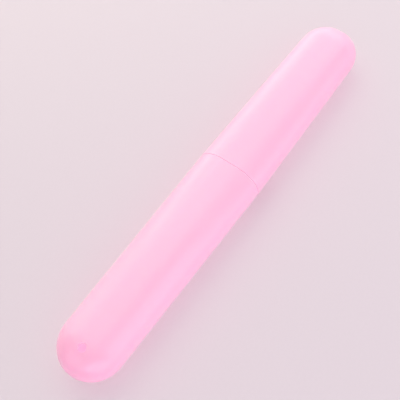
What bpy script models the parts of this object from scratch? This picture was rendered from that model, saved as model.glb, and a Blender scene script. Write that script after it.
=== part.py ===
"""Travel toothbrush case: a flattened tube in two moulded halves, a body and a cap.

The case lies along X on its flat underside, with the cap towards +X. Its origin is on the
surface that it lies on, below its middle. A stepped-in neck on the body fills the mouth of
the cap, so that the two halves are flush outside. Lengths are in metres.
"""
import math

import bpy
from mathutils import Matrix

# Outer form
BODY_LENGTH = 0.1075
CAP_LENGTH = 0.0975
JOINT_WIDTH = 0.0308
HEIGHT = 0.0205
FLAT_WIDTH = 0.0060
DOME_LENGTH = 0.0145
DRAFT_ANGLE = math.radians(0.77)

# Walls and the edges at the joint
WALL = 0.0011
EDGE_ROUND = 0.0004
SEAM_GAP = 0.0003

# Neck, and the bead on it that snaps into a groove in the cap
NECK_LENGTH = 0.0140
NECK_CLEARANCE = 0.0003
BEAD_SETBACK = 0.0050
BEAD_WIDTH = 0.0016
BEAD_HEIGHT = 0.0002

# Vent hole in the top of the body
VENT_DIAMETER = 0.0035
VENT_SETBACK = 0.0100

# Fineness of the round faces
AROUND_STEPS = 48
TAPER_STEPS = 6
DOME_STEPS = 10
BEAD_STEPS = 6
VENT_STEPS = 24
EDGE_STEPS = 2
SHARP_ANGLE = math.radians(35)

# How far a cutter runs past what it cuts, and the widest gap that closes to one point
CUT_OVERRUN = 0.0020
MERGE_DISTANCE = 0.00001

# Turns a half from standing on its closed end to lying along X, closed end towards -X
LYING_DOWN = Matrix(((0, 0, 1, 0), (1, 0, 0, 0), (0, 1, 0, 0), (0, 0, 0, 1)))


def clear_scene():
    """Remove every object that the scene starts with."""
    for item in list(bpy.data.objects):
        bpy.data.objects.remove(item, do_unlink=True)


def new_collection(name):
    """Add a collection to the scene."""
    collection = bpy.data.collections.new(name)
    bpy.context.scene.collection.children.link(collection)
    return collection


def plastic(name, colour, roughness):
    """Moulded plastic of one colour."""
    material = bpy.data.materials.new(name)
    material.use_nodes = True
    shader = material.node_tree.nodes["Principled BSDF"]
    shader.inputs["Base Color"].default_value = colour
    shader.inputs["Roughness"].default_value = roughness
    shader.inputs["Metallic"].default_value = 0.0
    material.diffuse_color = colour
    return material


def skin(z, length):
    """Half the width, half the height and half the flat of the outer skin at height z.

    The half stands on its closed end, with the joint at z = 0 and the closed end at -length.
    Both ways from the joint the width narrows by the draft, and the height stays.
    """
    dome_start = length - DOME_LENGTH
    half_width = JOINT_WIDTH / 2 - min(abs(z), dome_start) * math.tan(DRAFT_ANGLE)
    into_dome = max(0.0, -z - dome_start) / DOME_LENGTH
    roundness = math.sqrt(max(0.0, 1.0 - into_dome ** 2))
    return half_width * roundness, HEIGHT / 2 * roundness, FLAT_WIDTH / 2 * roundness


def inset_point(z, length, inset):
    """Outline point that lies the inset inside the skin at height z."""
    half_width, _, _ = skin(z, length)
    return half_width - inset, z


def skin_outline(length, top):
    """Outline of the outer skin, from the height top down to the closed end."""
    dome_start = DOME_LENGTH - length
    heights = [top + (dome_start - top) * step / TAPER_STEPS for step in range(TAPER_STEPS + 1)]
    for step in range(1, DOME_STEPS):
        turn = math.pi / 2 * step / DOME_STEPS
        heights.append(dome_start - DOME_LENGTH * math.sin(turn))
    return [inset_point(z, length, 0) for z in heights] + [(0, -length)]


def ring_outline(length, centre, inset, depth, width, height):
    """Closed outline of a ring with a crowned outer face.

    The crown rises by the height over the width, above a surface that lies the inset inside
    the skin, and the ring reaches the depth below that surface.
    """
    outline = []
    for step in range(BEAD_STEPS + 1):
        share = 1.0 - 2.0 * step / BEAD_STEPS
        z = centre + share * width / 2 * math.sqrt(1.0 + depth / height)
        rise = height - (height + depth) * share ** 2
        outline.append(inset_point(z, length, inset - rise))
    return outline


def turned(name, outline, length, collection, closed=False):
    """Turn an outline of (radius, height) points, press it oval and lay it down along X."""
    start = math.pi / AROUND_STEPS
    points = [(radius * math.cos(start), radius * math.sin(start), z) for radius, z in outline]
    edges = [(index, index + 1) for index in range(len(points) - 1)]
    if closed:
        edges.append((len(points) - 1, 0))
    profile = bpy.data.meshes.new(name + "_profile")
    profile.from_pydata(points, edges, [])
    item = bpy.data.objects.new(name, profile)
    collection.objects.link(item)
    screw = item.modifiers.new("turn", "SCREW")
    screw.axis = "Z"
    screw.angle = 2 * math.pi
    screw.steps = AROUND_STEPS
    screw.render_steps = AROUND_STEPS
    screw.use_merge_vertices = True
    screw.merge_threshold = MERGE_DISTANCE
    make_plain(item)
    press_oval(item.data, length)
    item.data.transform(LYING_DOWN)
    bpy.data.meshes.remove(profile)
    return item


def make_plain(item):
    """Replace an object's mesh with its evaluated one and drop the modifiers."""
    depsgraph = bpy.context.evaluated_depsgraph_get()
    mesh = bpy.data.meshes.new_from_object(item.evaluated_get(depsgraph))
    mesh.name = item.name
    item.modifiers.clear()
    item.data = mesh


def press_oval(mesh, length):
    """Press a turned mesh into the oval section, keeping each point's inset from the skin.

    The oval is two level flats joined by half ellipses. Its facets touch the true curve at
    their middles, so the lowest and the highest facet lie level at the full height.
    """
    reach = 1.0 / math.cos(math.pi / AROUND_STEPS)
    for vertex in mesh.vertices:
        x, y, z = vertex.co
        radius = math.hypot(x, y)
        if radius < MERGE_DISTANCE:
            continue
        half_width, half_height, half_flat = skin(z, length)
        inset = half_width - radius
        across = (radius - half_flat) * reach * x / radius
        vertex.co.x = across + math.copysign(half_flat, x)
        vertex.co.y = (half_height - inset) * reach * y / radius


def add_wall(item):
    """Give the open skin its wall, inwards, and round the edges at the joint."""
    wall = item.modifiers.new("wall", "SOLIDIFY")
    wall.thickness = WALL
    wall.offset = -1.0
    wall.use_even_offset = True
    edges = item.modifiers.new("edges", "BEVEL")
    edges.width = EDGE_ROUND
    edges.segments = EDGE_STEPS
    edges.limit_method = "ANGLE"
    edges.angle_limit = SHARP_ANGLE


def add_boolean(item, tool, operation):
    """Cut the tool from an object, or join it on."""
    boolean = item.modifiers.new(tool.name, "BOOLEAN")
    boolean.operation = operation
    boolean.solver = "EXACT"
    boolean.object = tool


def shade_round(item):
    """Shade the round faces smooth and keep the edges crisp."""
    item.data.shade_smooth()
    item.data.set_sharp_from_angle(angle=SHARP_ANGLE)


def hide_tool(item):
    """Mark an object as a tool that shapes others."""
    item.hide_render = True
    item.display_type = "WIRE"


def place(item, joint_centre, half_turn=False):
    """Put the joint of a half, which is its origin, at the joint's centre."""
    item.location = joint_centre
    if half_turn:
        item.rotation_euler.z = math.pi


def vent_cutter(joint_centre, collection):
    """Upright drill through the top wall near the closed end of the body."""
    depth = HEIGHT / 2 + CUT_OVERRUN
    bpy.ops.mesh.primitive_cylinder_add(
        vertices=VENT_STEPS,
        radius=VENT_DIAMETER / 2,
        depth=depth,
    )
    cutter = bpy.context.object
    cutter.name = "vent_cutter"
    for owner in list(cutter.users_collection):
        owner.objects.unlink(cutter)
    collection.objects.link(cutter)
    cutter.location.x = joint_centre[0] - BODY_LENGTH + VENT_SETBACK
    cutter.location.z = joint_centre[2] + depth / 2
    hide_tool(cutter)
    return cutter


def build_body(joint_centre, parts, tools):
    """Body: domed tube with a shoulder, a stepped-in neck, a snap bead and a vent hole."""
    shoulder = -SEAM_GAP / 2
    neck_inset = WALL + NECK_CLEARANCE
    neck = [inset_point(z, BODY_LENGTH, neck_inset) for z in (NECK_LENGTH, shoulder)]
    outline = neck + skin_outline(BODY_LENGTH, shoulder)
    body = turned("body_tube", outline, BODY_LENGTH, parts)
    add_wall(body)

    bead_outline = ring_outline(
        BODY_LENGTH,
        centre=NECK_LENGTH - BEAD_SETBACK,
        inset=neck_inset,
        depth=WALL / 2,
        width=BEAD_WIDTH,
        height=BEAD_HEIGHT,
    )
    bead = turned("snap_bead", bead_outline, BODY_LENGTH, tools, closed=True)
    hide_tool(bead)
    place(bead, joint_centre)
    add_boolean(body, bead, "UNION")
    add_boolean(body, vent_cutter(joint_centre, tools), "DIFFERENCE")

    place(body, joint_centre)
    shade_round(body)
    body.data.materials.append(plastic("body_plastic", (0.96, 0.52, 0.73, 1.0), 0.32))


def build_cap(joint_centre, parts, tools):
    """Cap: domed tube with an open mouth and a shallow groove for the bead."""
    cap = turned("cap", skin_outline(CAP_LENGTH, -SEAM_GAP / 2), CAP_LENGTH, parts)
    add_wall(cap)

    groove_outline = ring_outline(
        CAP_LENGTH,
        centre=BEAD_SETBACK - NECK_LENGTH,
        inset=WALL,
        depth=WALL,
        width=BEAD_WIDTH + 2 * NECK_CLEARANCE,
        height=BEAD_HEIGHT,
    )
    groove = turned("groove_cutter", groove_outline, CAP_LENGTH, tools, closed=True)
    hide_tool(groove)
    place(groove, joint_centre, half_turn=True)
    add_boolean(cap, groove, "DIFFERENCE")

    place(cap, joint_centre, half_turn=True)
    shade_round(cap)
    cap.data.materials.append(plastic("cap_plastic", (0.97, 0.55, 0.75, 1.0), 0.30))


def main():
    """Build the case at rest, closed."""
    clear_scene()
    parts = new_collection("travel_toothbrush_case")
    tools = new_collection("cutters")
    joint_centre = ((BODY_LENGTH - CAP_LENGTH) / 2, 0, HEIGHT / 2)
    build_body(joint_centre, parts, tools)
    build_cap(joint_centre, parts, tools)


main()
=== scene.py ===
"""Travel toothbrush case of milky pink plastic, shut, lying on a pale table.

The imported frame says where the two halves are. Each half is built here once more as
one closed wall with rounded lips, dressed in its plastic, and rides on its body. The
case lies along X with the cap towards +X. Lengths are in metres.
"""
import logging
import math
from dataclasses import dataclass
from enum import Enum

import bpy
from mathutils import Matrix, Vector


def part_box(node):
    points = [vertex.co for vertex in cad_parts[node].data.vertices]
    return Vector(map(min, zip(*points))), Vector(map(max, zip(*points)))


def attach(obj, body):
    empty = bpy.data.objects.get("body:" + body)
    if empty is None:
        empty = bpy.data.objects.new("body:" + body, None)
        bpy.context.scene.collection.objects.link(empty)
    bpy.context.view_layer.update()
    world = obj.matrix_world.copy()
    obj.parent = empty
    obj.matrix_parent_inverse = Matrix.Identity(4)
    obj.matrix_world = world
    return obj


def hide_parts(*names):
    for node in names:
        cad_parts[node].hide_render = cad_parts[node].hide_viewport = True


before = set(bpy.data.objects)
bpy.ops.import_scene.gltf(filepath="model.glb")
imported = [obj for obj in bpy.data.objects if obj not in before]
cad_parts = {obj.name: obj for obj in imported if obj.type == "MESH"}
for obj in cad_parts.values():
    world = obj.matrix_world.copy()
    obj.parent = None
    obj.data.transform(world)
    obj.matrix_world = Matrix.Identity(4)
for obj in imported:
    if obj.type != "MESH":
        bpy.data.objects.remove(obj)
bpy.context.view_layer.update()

Colour = tuple[float, float, float]
Point = tuple[float, float, float]
Pair = tuple[float, float]
Outline = list[Pair]
Socket = bpy.types.NodeSocket
Sockets = bpy.types.NodeOutputs
Feeds = dict[str | int, object]
log = logging.getLogger("toothbrush_case")

QUARTER = math.pi / 2
WHITE: Colour = (1.0, 1.0, 1.0)
WARM: Colour = (1.0, 1.0, 0.84)
MILKY_PINK: Colour = (0.975, 0.515, 0.71)
DEEPER_PINK: Colour = (0.97, 0.49, 0.69)


class Heading(Enum):
    """Which way a half points from the joint to its closed end.

    Heights are less than zero on that side of the joint, and the value turns them into
    places along X.
    """

    TOWARDS_PLUS_X = -1.0
    TOWARDS_MINUS_X = 1.0


def opaque(colour: Colour) -> tuple[float, float, float, float]:
    """Give a colour its fourth value."""
    return (*colour, 1.0)


def link(item: bpy.types.Object) -> bpy.types.Object:
    """Put an object into the scene."""
    bpy.context.scene.collection.objects.link(item)
    return item


def make_plain(piece: bpy.types.Object) -> None:
    """Replace a piece's mesh with its evaluated one and drop its modifiers.

    Empty finish slots are dropped too, so that the faces of a cut take the piece's own
    finish.

    Args:
        piece: The object to settle.
    """
    depsgraph = bpy.context.evaluated_depsgraph_get()
    rough = piece.data
    mesh = bpy.data.meshes.new_from_object(piece.evaluated_get(depsgraph))
    mesh.name = piece.name
    for index in reversed(range(len(mesh.materials))):
        if mesh.materials[index] is None:
            mesh.materials.pop(index=index)
    piece.modifiers.clear()
    piece.data = mesh
    bpy.data.meshes.remove(rough)


def cut_away(piece: bpy.types.Object, tool: bpy.types.Object) -> None:
    """Cut a tool's shape out of a piece, then throw the tool away.

    Args:
        piece: The object that is cut.
        tool: The closed object that cuts it.
    """
    boolean = piece.modifiers.new(tool.name, "BOOLEAN")
    boolean.operation = "DIFFERENCE"
    boolean.solver = "EXACT"
    boolean.object = tool
    make_plain(piece)
    bpy.data.objects.remove(tool, do_unlink=True)


def direction(azimuth: float, elevation: float) -> Vector:
    """Point away from the middle of the case.

    Args:
        azimuth: Degrees from +X towards +Y.
        elevation: Degrees from the table upwards.

    Returns:
        The unit vector.
    """
    turn, rise = math.radians(azimuth), math.radians(elevation)
    flat = math.cos(rise)
    return Vector((flat * math.cos(turn), flat * math.sin(turn), math.sin(rise)))


class Tree:
    """A node tree, written one node at a time."""

    def __init__(self, tree: bpy.types.NodeTree) -> None:
        """Keep the tree."""
        self.tree = tree

    def node(self, kind: str, feeds: Feeds, **settings: object) -> bpy.types.Node:
        """Add a node.

        Args:
            kind: The node's type.
            feeds: What goes into each input, by its name or number.
            settings: The node's own settings.

        Returns:
            The new node.
        """
        node = self.tree.nodes.new(kind)
        for name, setting in settings.items():
            setattr(node, name, setting)
        self.feed(node, feeds)
        return node

    def feed(self, node: bpy.types.Node, feeds: Feeds) -> None:
        """Link or set inputs of a node.

        Args:
            node: The node.
            feeds: What goes into each input: a socket, which is linked, or a value.
        """
        for key, feed in feeds.items():
            if isinstance(feed, Socket):
                self.tree.links.new(feed, node.inputs[key])
            else:
                node.inputs[key].default_value = feed

    def math(self, operation: str, *terms: object) -> Socket:
        """Work out one operation on numbers, each a socket or a value."""
        feeds = dict(enumerate(terms))
        return self.node("ShaderNodeMath", feeds, operation=operation).outputs[0]

    def mix(self, share: Socket, first: object, second: object) -> Socket:
        """Mix two colours, each a socket or a value, by the share of the second."""
        feeds = {"Factor": share, "A": first, "B": second}
        return self.node("ShaderNodeMix", feeds, data_type="RGBA").outputs["Result"]


class ShellTree:
    """Geometry Nodes that turn an outline round and press it oval, as one closed wall.

    The outline's points hold their height above the joint in X and their inset from
    the outer skin in Y. It starts and ends at the closed end, so that the turned wall
    is closed. The ease is a share of a dome's radius squared. It is taken off, so that
    each pole comes to one point.
    """

    NAME = "oval_shell"
    POLE_EASE = 0.000001
    NUMBERS = (
        "Half Width",
        "Half Height",
        "Half Flat",
        "Draft Slope",
        "Length",
        "Dome Length",
        "Joint X",
        "Heading",
        "Merge Distance",
    )

    def __init__(self) -> None:
        """Build the tree."""
        self.group = bpy.data.node_groups.new(self.NAME, "GeometryNodeTree")
        face = self.group.interface
        face.new_socket("Outline", in_out="INPUT", socket_type="NodeSocketGeometry")
        face.new_socket("Steps Around", in_out="INPUT", socket_type="NodeSocketInt")
        for name in self.NUMBERS:
            face.new_socket(name, in_out="INPUT", socket_type="NodeSocketFloat")
        face.new_socket("Plastic", in_out="INPUT", socket_type="NodeSocketMaterial")
        face.new_socket("Shell", in_out="OUTPUT", socket_type="NodeSocketGeometry")
        tree = Tree(self.group)
        given = tree.node("NodeGroupInput", {}).outputs
        grid, place = self._spread(tree, given)
        moved = tree.node(
            "GeometryNodeSetPosition", {"Geometry": grid, "Position": place}
        )
        self._close(tree, given, moved.outputs[0])

    def _spread(self, tree: Tree, given: Sockets) -> tuple[Socket, Socket]:
        """Lay out a grid and work out where each of its points goes.

        Args:
            tree: The tree that is being built.
            given: The tree's inputs.

        Returns:
            The grid, and the place of its points.
        """
        rows = tree.node(
            "GeometryNodeAttributeDomainSize", {0: given["Outline"]}, component="MESH"
        ).outputs["Point Count"]
        steps = given["Steps Around"]
        columns = tree.math("ADD", steps, 1.0)
        grid = tree.node(
            "GeometryNodeMeshGrid", {"Vertices X": rows, "Vertices Y": columns}
        )
        index = tree.node("GeometryNodeInputIndex", {}).outputs[0]
        row = tree.math("FLOOR", tree.math("DIVIDE", index, columns))
        column = tree.math("MODULO", index, columns)
        position = tree.node("GeometryNodeInputPosition", {}).outputs[0]
        sampled = tree.node(
            "GeometryNodeSampleIndex",
            {"Geometry": given["Outline"], "Value": position, "Index": row},
            data_type="FLOAT_VECTOR",
            domain="POINT",
        )
        parts = tree.node("ShaderNodeSeparateXYZ", {0: sampled.outputs[0]}).outputs
        place = self._press(tree, given, (parts[0], parts[1]), (column, steps))
        return grid.outputs["Mesh"], place

    def _press(
        self,
        tree: Tree,
        given: Sockets,
        point: tuple[Socket, Socket],
        around: tuple[Socket, Socket],
    ) -> Socket:
        """Work out the place of a point of the outline that is turned and pressed oval.

        Args:
            tree: The tree that is being built.
            given: The tree's inputs.
            point: The outline point's height above the joint and its inset.
            around: The step that it is turned by, and the number of steps.

        Returns:
            Its place in the case's frame.
        """
        height, inset = point
        step, steps = around
        half_step = tree.math("DIVIDE", -math.pi, steps)
        half_steps = tree.math("MULTIPLY_ADD", step, 2.0, 1.0)
        turn = tree.math("MULTIPLY", half_steps, half_step)
        reach = tree.math("DIVIDE", 1.0, tree.math("COSINE", half_step))
        dome_start = tree.math("SUBTRACT", given["Length"], given["Dome Length"])
        start_height = tree.math("MULTIPLY", dome_start, -1.0)
        past_start = tree.math("MULTIPLY_ADD", height, -1.0, start_height)
        dome_depth = tree.math("SUBTRACT", given["Dome Length"], inset)
        depth = tree.math("MAXIMUM", past_start, 0.0)
        into_dome = tree.math("DIVIDE", depth, dome_depth)
        squared = tree.math("MULTIPLY", into_dome, into_dome)
        left = tree.math("SUBTRACT", 1.0 - self.POLE_EASE, squared)
        roundness = tree.math("SQRT", tree.math("MAXIMUM", left, 0.0))
        drafted = tree.math("MINIMUM", tree.math("ABSOLUTE", height), dome_start)
        narrowed = tree.math("MULTIPLY", drafted, given["Draft Slope"])
        skin_wide = tree.math("SUBTRACT", given["Half Width"], narrowed)
        wide = tree.math("SUBTRACT", skin_wide, inset)
        tall = tree.math("SUBTRACT", given["Half Height"], inset)
        cosine, sine = tree.math("COSINE", turn), tree.math("SINE", turn)
        round_wide = tree.math("SUBTRACT", wide, given["Half Flat"])
        round_part = tree.math("MULTIPLY", round_wide, reach)
        flat_part = tree.math("MULTIPLY", tree.math("SIGN", cosine), given["Half Flat"])
        across = tree.math("MULTIPLY_ADD", round_part, cosine, flat_part)
        round_tall = tree.math("MULTIPLY", tall, reach)
        up = tree.math("MULTIPLY", round_tall, sine)
        along = tree.math("MULTIPLY_ADD", height, given["Heading"], given["Joint X"])
        rounded = tree.math("MULTIPLY", across, roundness)
        sideways = tree.math("MULTIPLY", rounded, given["Heading"])
        raised = tree.math("MULTIPLY_ADD", up, roundness, given["Half Height"])
        place = tree.node("ShaderNodeCombineXYZ", {0: along, 1: sideways, 2: raised})
        return place.outputs[0]

    def _close(self, tree: Tree, given: Sockets, wall: Socket) -> None:
        """Merge the seam and the poles, shade the wall smooth and give it its plastic.

        Args:
            tree: The tree that is being built.
            given: The tree's inputs.
            wall: The grid with its points in place.
        """
        merged = tree.node(
            "GeometryNodeMergeByDistance",
            {"Geometry": wall, "Distance": given["Merge Distance"]},
        )
        smooth = tree.node(
            "GeometryNodeSetShadeSmooth", {"Geometry": merged.outputs[0]}
        )
        real = tree.node(
            "GeometryNodeRealizeInstances", {"Geometry": smooth.outputs[0]}
        )
        dressed = tree.node(
            "GeometryNodeSetMaterial",
            {"Geometry": real.outputs[0], "Material": given["Plastic"]},
        )
        tree.node("NodeGroupOutput", {"Shell": dressed.outputs[0]})

    def apply(self, piece: bpy.types.Object, values: dict[str, object]) -> None:
        """Run the tree on a piece that holds an outline.

        Args:
            piece: The piece, whose mesh is the outline.
            values: The tree's inputs by name.
        """
        modifier = piece.modifiers.new(self.NAME, "NODES")
        modifier.node_group = self.group
        for item in self.group.interface.items_tree:
            if item.in_out == "INPUT" and item.name in values:
                modifier[item.identifier] = values[item.name]
        make_plain(piece)


@dataclass(frozen=True)
class MilkyPlastic:
    """Satin finish of a milky moulding, with faint clouds, slow waves and mould grain.

    Noise sizes are those of one cloud, wave or grain, and depths are those of the
    surface. The colour is painted deeper over the last stretch before the closed end:
    painted shade, where that end turns away from the lamps. The wall lets light on to
    what lies behind it: all that comes straight from a lamp, a little tinted, and less
    of what other surfaces send back. The neck lies inside the other half, so it doesn't
    tint the light once more.
    """

    name: str
    colour: Colour
    deep_colour: Colour
    # Painted shade: the closed end's deeper pink, and how far from that end it reaches.
    shaded_end_colour: Colour
    shaded_end_reach: float = 0.020
    smoothest: float = 0.20
    roughest: float = 0.28
    cloud_size: float = 0.022
    cloud_detail: float = 3.0
    flow_stretch: float = 4.0
    grain_size: float = 0.0006
    grain_depth: float = 0.0000015
    wave_size: float = 0.012
    wave_depth: float = 0.000012
    surface_detail: float = 1.0
    bounce_through: float = 0.80
    passed_colour: Colour = (0.99, 0.952, 0.975)
    light_share: float = 0.3
    light_reach: float = 0.0010
    light_spread: Colour = (1.0, 0.45, 0.7)
    refraction: float = 1.49
    rim_glow: float = 0.15
    rim_softness: float = 0.4
    rim_colour: Colour = (1.0, 0.92, 0.96)

    def material(self, closed_end: float, joint_x: float) -> bpy.types.Material:
        """Build the material.

        Args:
            closed_end: Where the piece's closed end lies along the case.
            joint_x: Where the joint lies along the case.

        Returns:
            The node-based material.
        """
        material = bpy.data.materials.new(self.name)
        material.use_nodes = True
        tree = Tree(material.node_tree)
        place = tree.node("ShaderNodeTexCoord", {}).outputs["Object"]
        shader = material.node_tree.nodes["Principled BSDF"]
        clouds = self._clouds(tree, place)
        colour = tree.mix(clouds, opaque(self.colour), opaque(self.deep_colour))
        along = tree.node("ShaderNodeSeparateXYZ", {0: place}).outputs["X"]
        away = tree.math("ABSOLUTE", tree.math("SUBTRACT", along, closed_end))
        # Painted shade: a deeper pink towards the closed end, which turns away from the
        # lamps.
        colour = tree.mix(self._shaded_end_share(tree, away), colour, opaque(self.shaded_end_colour))
        roughness = tree.node(
            "ShaderNodeMapRange",
            {"Value": clouds, "To Min": self.smoothest, "To Max": self.roughest},
        )
        feeds = {
            "Base Color": colour,
            "Roughness": roughness.outputs[0],
            "Normal": self._surface(tree, place),
            "Subsurface Weight": self.light_share,
            "Subsurface Radius": self.light_spread,
            "Subsurface Scale": self.light_reach,
            "IOR": self.refraction,
            "Sheen Weight": self.rim_glow,
            "Sheen Roughness": self.rim_softness,
            "Sheen Tint": opaque(self.rim_colour),
        }
        tree.feed(shader, feeds)
        on_neck = tree.math("GREATER_THAN", away, abs(joint_x - closed_end))
        passing = self._let_through(tree, shader.outputs[0], on_neck)
        tree.feed(material.node_tree.nodes["Material Output"], {"Surface": passing})
        return material

    def _shaded_end_share(self, tree: Tree, away: Socket) -> Socket:
        """Work out the share of painted shade, which grows towards the closed end.

        Args:
            tree: The material's tree.
            away: How far the place is from the closed end.

        Returns:
            The share of painted shade, from 0 to 1 at the closed end.
        """
        return tree.node(
            "ShaderNodeMapRange",
            {"Value": away, "From Min": self.shaded_end_reach, "From Max": 0.0},
            interpolation_type="SMOOTHSTEP",
        ).outputs[0]

    def _let_through(self, tree: Tree, surface: Socket, on_neck: Socket) -> Socket:
        """Let light on through the wall, which the camera and mirror images see whole.

        Args:
            tree: The material's tree.
            surface: The shaded surface.
            on_neck: 1 on the neck, and 0 elsewhere.

        Returns:
            The surface with light passing through it.
        """
        path = tree.node("ShaderNodeLightPath", {}).outputs
        bounced, shadow = path["Is Diffuse Ray"], path["Is Shadow Ray"]
        share = tree.math("MULTIPLY_ADD", bounced, self.bounce_through, shadow)
        passed = tree.mix(on_neck, opaque(self.passed_colour), opaque(WHITE))
        clear = tree.node("ShaderNodeBsdfTransparent", {"Color": passed})
        return tree.node(
            "ShaderNodeMixShader", {0: share, 1: surface, 2: clear.outputs[0]}
        ).outputs[0]

    def _clouds(self, tree: Tree, place: Socket) -> Socket:
        """Make the clouds, drawn out along the case as the plastic flowed in its mould.

        Args:
            tree: The material's tree.
            place: The place on the piece.

        Returns:
            The depth of the colour, from 0 to 1.
        """
        stretch = (1.0 / self.flow_stretch, 1.0, 1.0)
        drawn = tree.node("ShaderNodeMapping", {"Vector": place, "Scale": stretch})
        feeds = {
            "Vector": drawn.outputs[0],
            "Scale": 1.0 / self.cloud_size,
            "Detail": self.cloud_detail,
        }
        return tree.node("ShaderNodeTexNoise", feeds).outputs[0]

    def _surface(self, tree: Tree, place: Socket) -> Socket:
        """Make the mould's fine grain on the slow waves of a thin wall.

        Args:
            tree: The material's tree.
            place: The place on the piece.

        Returns:
            The bent normal.
        """
        normal = None
        for size, depth in (
            (self.wave_size, self.wave_depth),
            (self.grain_size, self.grain_depth),
        ):
            noise = tree.node(
                "ShaderNodeTexNoise",
                {"Vector": place, "Scale": 1.0 / size, "Detail": self.surface_detail},
            )
            feeds = {"Height": noise.outputs[0], "Distance": depth}
            if normal is not None:
                feeds["Normal"] = normal
            normal = tree.node("ShaderNodeBump", feeds).outputs[0]
        return normal


@dataclass(frozen=True)
class PaleTable:
    """Pale matt table top with a faint fleck."""

    name: str = "pale_table"
    colour: Colour = (0.690, 0.597, 0.659)
    fleck_colour: Colour = (0.672, 0.579, 0.640)
    fleck_size: float = 0.0012
    fleck_detail: float = 2.0
    roughness: float = 0.75
    half_side: float = 0.6

    def material(self) -> bpy.types.Material:
        """Build the material.

        Returns:
            The node-based material.
        """
        material = bpy.data.materials.new(self.name)
        material.use_nodes = True
        tree = Tree(material.node_tree)
        place = tree.node("ShaderNodeTexCoord", {}).outputs["Object"]
        feeds = {
            "Vector": place,
            "Scale": 1.0 / self.fleck_size,
            "Detail": self.fleck_detail,
        }
        fleck = tree.node("ShaderNodeTexNoise", feeds).outputs[0]
        colour = tree.mix(fleck, opaque(self.colour), opaque(self.fleck_colour))
        shader = material.node_tree.nodes["Principled BSDF"]
        tree.feed(shader, {"Base Color": colour, "Roughness": self.roughness})
        return material

    def build(self) -> bpy.types.Object:
        """Build the table top.

        Returns:
            The table top.
        """
        near, far = -self.half_side, self.half_side
        corners = [(near, near, 0), (far, near, 0), (far, far, 0), (near, far, 0)]
        mesh = bpy.data.meshes.new(self.name)
        mesh.from_pydata(corners, [], [(0, 1, 2, 3)])
        mesh.materials.append(self.material())
        table = link(bpy.data.objects.new(self.name, mesh))
        return table


@dataclass(frozen=True)
class OvalSkin:
    """The outer skin that both halves share, and how finely it is drawn."""

    joint_width: float = 0.03078
    height: float = 0.0205
    flat_width: float = 0.0060
    dome_length: float = 0.0145
    draft_angle: float = math.radians(0.77)
    seam_gap: float = 0.00008
    wall: float = 0.0011
    steps_around: int = 144
    steps_along: int = 24
    steps_dome: int = 36
    steps_lip: int = 8
    merge_distance: float = 0.000002

    def top(self, depth: float) -> float:
        """Height of the skin's crest above the table at a depth into a dome."""
        share = max(0.0, depth) / self.dome_length
        return self.height / 2 * (1.0 + math.sqrt(1.0 - share**2))

    def dome(self, length: float, inset: float) -> Outline:
        """Outline of a dome, from the closed end to where the dome starts.

        Args:
            length: The half's length.
            inset: How far the outline lies inside the skin.

        Returns:
            Points of height and inset.
        """
        start = self.dome_length - length
        depth = self.dome_length - inset
        turns = [
            QUARTER * (1.0 - step / self.steps_dome)
            for step in range(self.steps_dome + 1)
        ]
        return [(start - depth * math.sin(turn), inset) for turn in turns]

    def run(self, ends: Pair, inset: float, steps: int) -> Outline:
        """Outline of a straight wall between two heights, with a point near each end.

        Args:
            ends: The heights that it runs from and to, which are left out.
            inset: How far it lies inside the skin.
            steps: The number of even steps between these points.

        Returns:
            Points of height and inset.
        """
        first, last = ends
        near = math.copysign(self.wall / self.steps_lip, last - first)
        first, last = first + near, last - near
        return [
            (first + (last - first) * step / steps, inset) for step in range(steps + 1)
        ]

    def corner(self, centre: Pair, radius: float, turns: Pair) -> Outline:
        """Outline of a rounded corner.

        Args:
            centre: Height and inset of its centre.
            radius: Its radius.
            turns: Angles of its two ends, from straight inwards to greater heights.

        Returns:
            Points of height and inset.
        """
        height, inset = centre
        first, last = turns
        outline = []
        for step in range(self.steps_lip + 1):
            turn = first + (last - first) * step / self.steps_lip
            outline.append(
                (height + radius * math.sin(turn), inset + radius * math.cos(turn))
            )
        return outline

    def crown(self, centre: float, inset: float, width: float, rise: float) -> Outline:
        """Outline of a low crown: a bead on an outer wall, or a groove in an inner one.

        Args:
            centre: Height of its middle.
            inset: How far the wall lies inside the skin.
            width: Its width, which is negative where the outline runs down.
            rise: How far it reaches towards the skin.

        Returns:
            Points of height and inset.
        """
        outline = []
        for step in range(2 * self.steps_lip + 1):
            share = step / self.steps_lip - 1.0
            reach = rise * math.cos(QUARTER * share) ** 2
            outline.append((centre + share * width / 2, inset - reach))
        return outline


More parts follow.
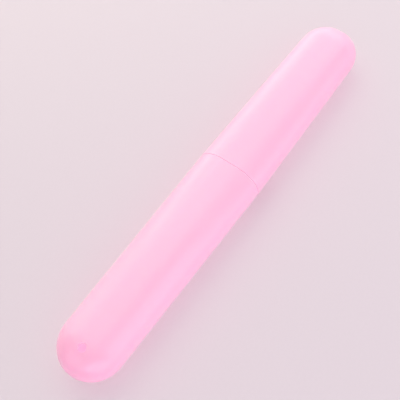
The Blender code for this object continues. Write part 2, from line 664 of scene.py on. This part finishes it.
@dataclass
class CaseHalf:
    """One moulded half of the case, as one closed wall."""

    node: str
    body: str
    slot: str
    heading: Heading
    length: float
    skin: OvalSkin
    plastic: MilkyPlastic
    lip_radius: float = 0.00012

    def outline(self) -> Outline:
        """Outline of the wall, from the closed end outside to the closed end inside."""
        raise NotImplementedError

    def closed_end(self, joint_x: float) -> float:
        """Where the closed end lies along the case, from where the joint lies."""
        return joint_x - self.heading.value * self.length

    def finish_shape(self, piece: bpy.types.Object, joint_x: float) -> None:
        """Shape the turned piece further where the half needs it."""

    def build(self, shells: ShellTree, joint_x: float) -> bpy.types.Object:
        """Build the half, dress it and hand it to its body.

        Args:
            shells: The tree that turns outlines into walls.
            joint_x: Where the joint lies along the case.

        Returns:
            The finished piece.
        """
        mesh = bpy.data.meshes.new(self.node)
        points = [(height, inset, 0.0) for height, inset in self.outline()]
        edges = [(index, index + 1) for index in range(len(points) - 1)]
        mesh.from_pydata(points, edges, [])
        piece = link(bpy.data.objects.new(self.node + "_wall", mesh))
        skin = self.skin
        values = {
            "Steps Around": skin.steps_around,
            "Half Width": skin.joint_width / 2,
            "Half Height": skin.height / 2,
            "Half Flat": skin.flat_width / 2,
            "Draft Slope": math.tan(skin.draft_angle),
            "Length": self.length,
            "Dome Length": skin.dome_length,
            "Joint X": joint_x,
            "Heading": self.heading.value,
            "Merge Distance": skin.merge_distance,
            "Plastic": self.plastic.material(self.closed_end(joint_x), joint_x),
        }
        shells.apply(piece, values)
        self.finish_shape(piece, joint_x)
        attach(piece, self.body)
        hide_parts(self.node)
        return piece


@dataclass(frozen=True)
class Vent:
    """Round vent hole with a softened rim, drilled straight down."""

    diameter: float = 0.0035
    setback: float = 0.0100
    rim_radius: float = 0.00012
    overrun: float = 0.0005
    sides: int = 72
    rim_steps: int = 10

    def profile(self, wall: float) -> list[Pair]:
        """Profile of the drill.

        Args:
            wall: The wall that it goes through.

        Returns:
            Points of radius and height above the skin, from the top down.
        """
        bore, rim = self.diameter / 2, self.rim_radius
        points = [(bore + rim, self.overrun)]
        for step in range(1, self.rim_steps + 1):
            turn = QUARTER * step / self.rim_steps
            points.append(
                (bore + rim * (1.0 - math.sin(turn)), rim * (math.cos(turn) - 1.0))
            )
        points.append((bore, -wall - self.overrun))
        return points

    def drill(
        self, centre_x: float, skin: OvalSkin, dome_start_x: float
    ) -> bpy.types.Object:
        """Make the drill, whose rim follows the skin.

        Args:
            centre_x: Where it stands along the case.
            skin: The skin that it goes through.
            dome_start_x: Where the dome starts.

        Returns:
            The drill, a closed tool.
        """
        profile = self.profile(skin.wall)
        points, faces = [], []
        for radius, height in profile:
            for side in range(self.sides):
                turn = 2 * math.pi * side / self.sides
                x = centre_x + radius * math.cos(turn)
                y = radius * math.sin(turn)
                points.append((x, y, skin.top(dome_start_x - x) + height))
        for ring in range(len(profile) - 1):
            for side in range(self.sides):
                beside = (side + 1) % self.sides
                low, high = (ring + 1) * self.sides, ring * self.sides
                faces.append((high + side, low + side, low + beside, high + beside))
        faces.append(tuple(range(self.sides)))
        last = (len(profile) - 1) * self.sides
        faces.append(tuple(last + side for side in reversed(range(self.sides))))
        mesh = bpy.data.meshes.new("vent_drill")
        mesh.from_pydata(points, [], faces)
        mesh.shade_smooth()
        return link(bpy.data.objects.new("vent_drill", mesh))


@dataclass
class BodyTube(CaseHalf):
    """The body: a tube with a vent, a shoulder, and a neck with a snap bead."""

    neck_length: float = 0.0140
    neck_clearance: float = 0.0003
    shoulder_radius: float = 0.0004
    root_radius: float = 0.00015
    bead_setback: float = 0.0050
    bead_width: float = 0.0016
    bead_height: float = 0.0002
    sharp_angle: float = math.radians(35)
    vent: Vent = Vent()

    def outline(self) -> Outline:
        """Outline of the wall, from the closed end outside to the closed end inside.

        Returns:
            Points of height and inset.
        """
        skin, lip = self.skin, self.lip_radius
        shoulder = -skin.seam_gap / 2
        dome_start = skin.dome_length - self.length
        neck = skin.wall + self.neck_clearance
        edge, root = self.shoulder_radius, self.root_radius
        rim = self.neck_length - lip
        bead = self.neck_length - self.bead_setback
        half_bead = self.bead_width / 2
        bore = neck + skin.wall
        ledge = shoulder - skin.wall
        outline = skin.dome(self.length, 0.0)
        outline += skin.run((dome_start, shoulder - edge), 0.0, skin.steps_along)
        outline += skin.corner((shoulder - edge, edge), edge, (math.pi, QUARTER))
        outline += skin.corner((shoulder + root, neck - root), root, (-QUARTER, 0.0))
        outline += skin.run((shoulder + root, bead - half_bead), neck, skin.steps_lip)
        outline += skin.crown(bead, neck, self.bead_width, self.bead_height)
        outline += skin.run((bead + half_bead, rim), neck, skin.steps_lip)
        outline += skin.corner((rim, neck + lip), lip, (math.pi, QUARTER))
        outline += skin.corner((rim, bore - lip), lip, (QUARTER, 0.0))
        outline += skin.run((rim, ledge + root), bore, skin.steps_lip)
        outline += skin.corner((ledge + root, bore - root), root, (0.0, -QUARTER))
        outline += skin.corner(
            (ledge - root, skin.wall + root), root, (QUARTER, math.pi)
        )
        outline += skin.run((ledge - root, dome_start), skin.wall, skin.steps_along)
        outline += skin.dome(self.length, skin.wall)[::-1]
        return outline

    def finish_shape(self, piece: bpy.types.Object, joint_x: float) -> None:
        """Drill the vent and keep its edges crisp.

        Args:
            piece: The turned body.
            joint_x: Where the joint lies along the case.
        """
        closed_end = self.closed_end(joint_x)
        dome_start = closed_end + self.skin.dome_length
        drill = self.vent.drill(closed_end + self.vent.setback, self.skin, dome_start)
        cut_away(piece, drill)
        piece.data.set_sharp_from_angle(angle=self.sharp_angle)


@dataclass
class Cap(CaseHalf):
    """The cap: a tube with an open mouth and a groove for the bead of the body."""

    groove_setback: float = 0.0090
    groove_width: float = 0.0022
    groove_depth: float = 0.0002

    def outline(self) -> Outline:
        """Outline of the wall, from the closed end outside to the closed end inside.

        Returns:
            Points of height and inset.
        """
        skin, lip = self.skin, self.lip_radius
        mouth = -skin.seam_gap / 2 - lip
        dome_start = skin.dome_length - self.length
        half_groove = self.groove_width / 2
        groove = -self.groove_setback
        wall = skin.wall
        outline = skin.dome(self.length, 0.0)
        outline += skin.run((dome_start, mouth), 0.0, skin.steps_along)
        outline += skin.corner((mouth, lip), lip, (math.pi, QUARTER))
        outline += skin.corner((mouth, wall - lip), lip, (QUARTER, 0.0))
        outline += skin.run((mouth, groove + half_groove), wall, skin.steps_lip)
        outline += skin.crown(groove, wall, -self.groove_width, self.groove_depth)
        outline += skin.run((groove - half_groove, dome_start), wall, skin.steps_along)
        outline += skin.dome(self.length, wall)[::-1]
        return outline


@dataclass(frozen=True)
class SoftBox:
    """A soft lamp that faces the middle of the case.

    Its angles are in degrees and its power is in watts.
    """

    name: str
    azimuth: float
    elevation: float
    distance: float
    width: float
    height: float
    power: float
    colour: Colour = WHITE

    def build(self) -> bpy.types.Object:
        """Build the lamp.

        Returns:
            The lamp, which the camera doesn't see.
        """
        light = bpy.data.lights.new(self.name, "AREA")
        light.shape = "RECTANGLE"
        light.size, light.size_y = self.width, self.height
        light.energy = self.power
        light.color = self.colour
        lamp = link(bpy.data.objects.new(self.name, light))
        out = direction(self.azimuth, self.elevation)
        lamp.location = out * self.distance
        lamp.rotation_euler = (-out).to_track_quat("-Z", "Y").to_euler()
        lamp.visible_camera = False
        return lamp


@dataclass(frozen=True)
class Studio:
    """Lamps, the light of the room and the camera of the photograph.

    A lamp's row has its name, azimuth, elevation, distance, width, height, power and
    colour, which is white where none is given.
    """

    lamps: tuple[SoftBox, ...] = (
        SoftBox("left_window", 42.0, 20.0, 0.90, 1.00, 0.60, 3.20, WARM),
        SoftBox("left_low", 75.0, 12.0, 0.90, 1.60, 0.40, 2.02, WARM),
        SoftBox("left_high", 90.0, 35.0, 0.90, 0.60, 0.40, 1.34, WARM),
        SoftBox("far_high", 50.0, 45.0, 0.90, 0.60, 0.40, 0.76, WARM),
        SoftBox("top_left", 80.0, 58.0, 0.90, 0.70, 0.45, 0.89, WARM),
        SoftBox("over_left", 90.0, 70.0, 0.80, 0.80, 0.50, 0.72, WARM),
        SoftBox("over_far", 20.0, 60.0, 0.80, 0.60, 0.40, 0.50),
        SoftBox("back_right", 0.0, 34.0, 0.90, 0.60, 0.50, 1.40),
        SoftBox("back_low", 10.0, 8.0, 0.90, 1.00, 0.25, 0.60),
        SoftBox("far_right", -40.0, 12.0, 0.90, 0.80, 0.40, 1.15),
        SoftBox("right_tall", -82.0, 35.0, 0.60, 0.25, 0.50, 0.59),
        SoftBox("right_low", -90.0, 10.0, 0.90, 1.40, 0.30, 1.40),
        SoftBox("right_front", -135.0, 22.0, 0.90, 0.90, 0.60, 3.15),
        SoftBox("front", 180.0, 25.0, 1.00, 1.20, 0.70, 2.80),
    )
    room_light: float = 0.240
    room_colour: Colour = (0.833, 0.833, 1.0)
    backdrop: Colour = (0.84, 0.70, 0.75)
    aim: Point = (-0.0084, 0.0064, 0.0)
    camera_azimuth: float = -144.21
    camera_elevation: float = 63.0
    camera_distance: float = 0.2936
    focal_pixels: float = 651.6
    image_pixels: float = 400.0
    nearest_seen: float = 0.01
    furthest_seen: float = 10.0

    def build(self) -> None:
        """Build the lamps, the world and the camera."""
        for lamp in self.lamps:
            lamp.build()
        self._world()
        self._camera()

    def _world(self) -> None:
        """Light the room evenly, and show the camera a backdrop like the table."""
        world = bpy.data.worlds.new("room")
        bpy.context.scene.world = world
        world.use_nodes = True
        world.node_tree.nodes.clear()
        tree = Tree(world.node_tree)
        room = tree.node(
            "ShaderNodeBackground",
            {"Color": opaque(self.room_colour), "Strength": self.room_light},
        )
        backdrop = tree.node("ShaderNodeBackground", {"Color": opaque(self.backdrop)})
        seen = tree.node("ShaderNodeLightPath", {}).outputs["Is Camera Ray"]
        mixed = tree.node(
            "ShaderNodeMixShader",
            {0: seen, 1: room.outputs[0], 2: backdrop.outputs[0]},
        )
        tree.node("ShaderNodeOutputWorld", {"Surface": mixed.outputs[0]})

    def _camera(self) -> None:
        """Set up the camera where the photograph was taken from."""
        data = bpy.data.cameras.new("photo_camera")
        data.lens = data.sensor_width * self.focal_pixels / self.image_pixels
        data.clip_start, data.clip_end = self.nearest_seen, self.furthest_seen
        camera = link(bpy.data.objects.new("photo_camera", data))
        out = direction(self.camera_azimuth, self.camera_elevation)
        camera.location = Vector(self.aim) + out * self.camera_distance
        camera.rotation_euler = (-out).to_track_quat("-Z", "Y").to_euler()
        bpy.context.scene.camera = camera


def main() -> None:
    """Build the case, its table and its studio, and report each piece."""
    logging.basicConfig(level=logging.INFO, format="%(message)s")
    bpy.context.scene.view_settings.view_transform = "Standard"
    skin = OvalSkin()
    shells = ShellTree()
    body = BodyTube(
        node="body_tube",
        body="body",
        slot="body_plastic",
        heading=Heading.TOWARDS_MINUS_X,
        length=0.1075,
        skin=skin,
        plastic=MilkyPlastic(
            name="body_milky_pink",
            colour=MILKY_PINK,
            deep_colour=DEEPER_PINK,
            # Painted shade at the body's closed end.
            shaded_end_colour=(0.985, 0.445, 0.655),
        ),
    )
    cap = Cap(
        node="cap",
        body="cap",
        slot="cap_plastic",
        heading=Heading.TOWARDS_PLUS_X,
        length=0.0975,
        skin=skin,
        plastic=MilkyPlastic(
            name="cap_milky_pink",
            colour=MILKY_PINK,
            deep_colour=DEEPER_PINK,
            # Painted shade at the cap's closed end.
            shaded_end_colour=(0.98, 0.49, 0.69),
            smoothest=0.26,
            roughest=0.34,
        ),
    )
    joint_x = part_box("body_tube")[0].x + body.length
    for half in (body, cap):
        piece = half.build(shells, joint_x)
        faces = len(piece.data.polygons)
        log.info("%s: %d faces, rides on %s", piece.name, faces, half.body)
    table = PaleTable().build()
    log.info("%s: stage, not part of the case", table.name)
    studio = Studio()
    studio.build()
    log.info("studio: %d lamps, the room's light and the camera", len(studio.lamps))


if __name__ == "__main__":
    main()
